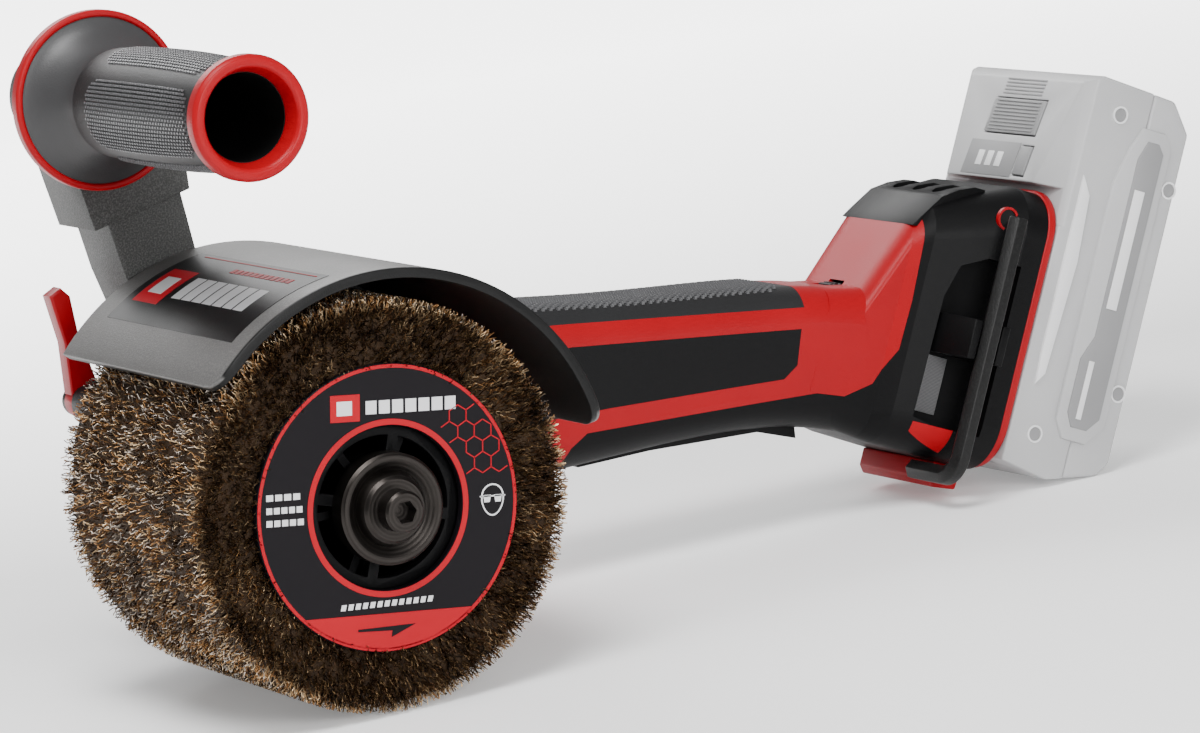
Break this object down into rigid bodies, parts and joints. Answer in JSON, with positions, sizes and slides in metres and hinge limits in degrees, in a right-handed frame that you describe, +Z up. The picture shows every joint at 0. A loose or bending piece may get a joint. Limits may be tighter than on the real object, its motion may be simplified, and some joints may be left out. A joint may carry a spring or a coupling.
{
  "type": "cordless drum brush grinder",
  "caption": "Cordless grinder with a wide wire drum under a swinging guard, a crosswise hollow front handle, a long grip and a battery sliding up behind the grip.",
  "frame": {"origin": "on the bench under the middle of the tool's bounding box, as the tool rests on its drum and the lower edge of its battery", "axes": "+X from the drum to the battery, +Y away from the free end of the drum, +Z up"},
  "size_m": [0.4098, 0.179, 0.2043],
  "materials": {
    "bristle": "crimped steel and brass wire, mixed",
    "hub_plastic": "moulded, satin",
    "disc_print": "printed paper disc with red rings",
    "dark_steel": "blackened, turned",
    "steel": "ground",
    "copper": "enamelled wire",
    "red_plastic": "satin, fine grain",
    "black_plastic": "satin",
    "black_rubber": "soft, knurled",
    "guard_paint": "fine silver-grey powder coat",
    "gear_alloy": "black painted die casting",
    "arm_plastic": "textured glass-filled nylon",
    "module": "heat sink",
    "filter_mesh": "fine woven mesh",
    "battery_grey": "pale translucent-looking grey",
    "battery_dark": "mid grey",
    "cell_wrap": "shrink wrap",
    "key_steel": "black oxide"
  },
  "bodies": {
    "housing": {"cover_screw_1": "dark_steel", "cover_screw_2": "dark_steel", "cover_screw_3": "dark_steel", "clamp_pin": "dark_steel", "handle_bolt": "dark_steel", "bearing_spindle_near": "steel", "bearing_spindle_far": "steel", "bearing_rotor_front": "steel", "bearing_rotor_rear": "steel", "motor_stator": "steel", "motor_windings": "copper", "body_shell_left": "red_plastic", "body_shell_right": "red_plastic", "housing_foot": "red_plastic", "battery_collar": "red_plastic", "handle_end_ring": "red_plastic", "handle_flange_ring": "red_plastic", "rear_shell_left": "black_plastic", "rear_shell_right": "black_plastic", "vent_cap": "black_plastic", "key_clip": "black_plastic", "switch_unit": "black_plastic", "terminal_block": "black_plastic", "handle_core": "black_plastic", "handle_tube": "black_plastic", "top_grip": "black_rubber", "side_panel_left": "black_rubber", "side_panel_right": "black_rubber", "handle_sleeve": "black_rubber", "gear_case": "gear_alloy", "gear_cover": "gear_alloy", "handle_arm": "arm_plastic", "arm_cover": "arm_plastic", "electronics_module": "module", "dust_filter_left": "filter_mesh", "dust_filter_right": "filter_mesh"},
    "drum": {"brush_bristles": "bristle", "brush_hub": "hub_plastic", "end_disc_outer": "disc_print", "end_disc_inner": "hub_plastic", "hub_insert": "hub_plastic", "clamp_flange": "dark_steel", "clamp_screw": "dark_steel", "spindle": "steel", "crown_gear": "steel"},
    "rotor": {"bevel_pinion": "steel", "rotor_shaft": "steel", "rotor_core": "steel", "cooling_fan": "black_plastic"},
    "guard_unit": {"guard": "guard_paint"},
    "battery": {"battery_front": "battery_grey", "battery_back": "battery_grey", "battery_cells": "cell_wrap"},
    "lever": {"clamp_lever": "red_plastic"},
    "paddle": {"paddle_switch": "black_plastic"},
    "lock_tab": {"lock_off": "black_plastic"},
    "dial": {"speed_dial": "black_rubber"},
    "latch": {"battery_latch": "battery_dark"},
    "gauge": {"gauge_button": "battery_dark"},
    "key": {"hex_key": "key_steel"}
  },
  "joints": [
    {"name": "brush_spin", "type": "hinge", "parent": "housing", "child": "drum", "pos_m": [-0.1451, -0.0285, 0.06], "axis": [0, 1, 0], "continuous": true},
    {"name": "rotor_spin", "type": "hinge", "parent": "housing", "child": "rotor", "pos_m": [-0.0851, 0.0515, 0.06], "axis": [1, 0, 0], "continuous": true},
    {"name": "guard_swing", "type": "hinge", "parent": "housing", "child": "guard_unit", "pos_m": [-0.1451, 0.0255, 0.06], "axis": [0, 1, 0], "range_deg": [-35, 20]},
    {"name": "lever_swing", "type": "hinge", "parent": "housing", "child": "lever", "pos_m": [-0.1761, 0.0615, 0.083], "axis": [0, 1, 0], "range_deg": [-100, 0]},
    {"name": "paddle_squeeze", "type": "hinge", "parent": "housing", "child": "paddle", "pos_m": [-0.0191, 0.0515, 0.0435], "axis": [0, 1, 0], "range_deg": [-4, 0], "stiffness_Nm_per_rad": 4, "springref_deg": 2.86},
    {"name": "lock_swing", "type": "hinge", "parent": "paddle", "child": "lock_tab", "pos_m": [0.0389, 0.0515, 0.0366], "axis": [0, 1, 0], "range_deg": [0, 20], "stiffness_Nm_per_rad": 0.05, "springref_deg": -5.73},
    {"name": "dial_turn", "type": "hinge", "parent": "housing", "child": "dial", "pos_m": [0.0839, 0.0515, 0.0665], "axis": [0, 1, 0], "range_deg": [-135, 135]},
    {"name": "battery_slide", "type": "slide", "parent": "housing", "child": "battery", "axis": [0.3971, 0, 0.9178], "range_m": [0, 0.09]},
    {"name": "latch_press", "type": "slide", "parent": "battery", "child": "latch", "axis": [0.9178, 0, -0.3971], "range_m": [0, 0.003], "stiffness_N_per_m": 1500, "springref_m": -0.002},
    {"name": "gauge_press", "type": "slide", "parent": "battery", "child": "gauge", "axis": [0.9178, 0, -0.3971], "range_m": [0, 0.0008], "stiffness_N_per_m": 1200, "springref_m": -0.0005},
    {"name": "key_pull", "type": "slide", "parent": "housing", "child": "key", "axis": [0, -1, 0], "range_m": [0, 0.035]}
  ],
  "couplings": [
    {"joint": "rotor_spin", "follows": "brush_spin", "ratio": 5}
  ]
}
